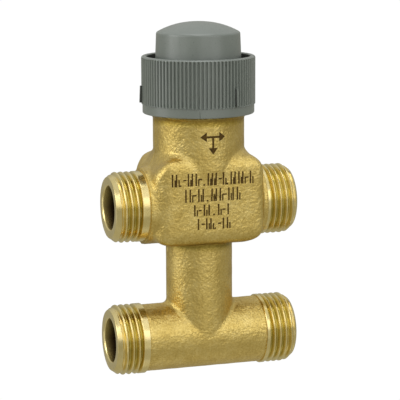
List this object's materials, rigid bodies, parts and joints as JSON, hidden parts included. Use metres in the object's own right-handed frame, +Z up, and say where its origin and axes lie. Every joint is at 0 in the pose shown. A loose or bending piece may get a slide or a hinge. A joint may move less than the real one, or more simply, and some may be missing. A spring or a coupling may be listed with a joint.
{
  "type": "zone valve",
  "caption": "Three-port brass zone valve with bypass tee, externally threaded ports, spring-return stem and a ribbed screw-on hand cap.",
  "frame": {"origin": "where the upper port axis meets the stem axis", "axes": "+X along the ports towards the outlet, +Z up the stem to the cap, -Y out of the marked front face"},
  "size_m": [0.056, 0.0336, 0.1044],
  "materials": {
    "forged_brass": "blasted forging",
    "turned_brass": "turned, polished",
    "stainless_steel": "ground",
    "spring_steel": "drawn",
    "elastomer": "matte",
    "white_ptfe": "turned",
    "grey_plastic": "moulded satin"
  },
  "bodies": {
    "valve": {"valve_body": "forged_brass", "bonnet": "turned_brass", "bonnet_o_ring": "elastomer", "seat_cage": "turned_brass", "cage_o_ring": "elastomer", "bypass_seat": "stainless_steel", "spring_seat": "spring_steel", "return_spring": "spring_steel", "stem_guide": "white_ptfe", "gland_o_ring_lower": "elastomer", "gland_washer": "white_ptfe", "gland_o_ring_upper": "elastomer", "gland_nut": "turned_brass"},
    "stem_set": {"stem": "stainless_steel", "upper_seal_disc": "elastomer", "plug_carrier": "turned_brass", "lower_seal_disc": "elastomer", "plug_nut": "turned_brass", "spring_cup": "spring_steel", "stem_clip": "spring_steel"},
    "dome_body": {"cap_dome": "grey_plastic"},
    "ring_body": {"cap_ring": "grey_plastic"}
  },
  "joints": [
    {"name": "stem_stroke", "type": "slide", "parent": "valve", "child": "stem_set", "axis": [0, 0, 1], "range_m": [-0.0025, 0], "stiffness_N_per_m": 3000, "springref_m": 0.01, "deforming": ["return_spring"]},
    {"name": "cap_travel", "type": "slide", "parent": "valve", "child": "dome_body", "axis": [0, 0, 1], "range_m": [0, 0.00975]},
    {"name": "cap_turn", "type": "hinge", "parent": "dome_body", "child": "ring_body", "pos_m": [0, 0, 0.035], "axis": [0, 0, 1], "range_deg": [0, 2341]}
  ],
  "couplings": [
    {"joint": "cap_turn", "follows": "cap_travel", "rad_per_m": 4188.8}
  ]
}
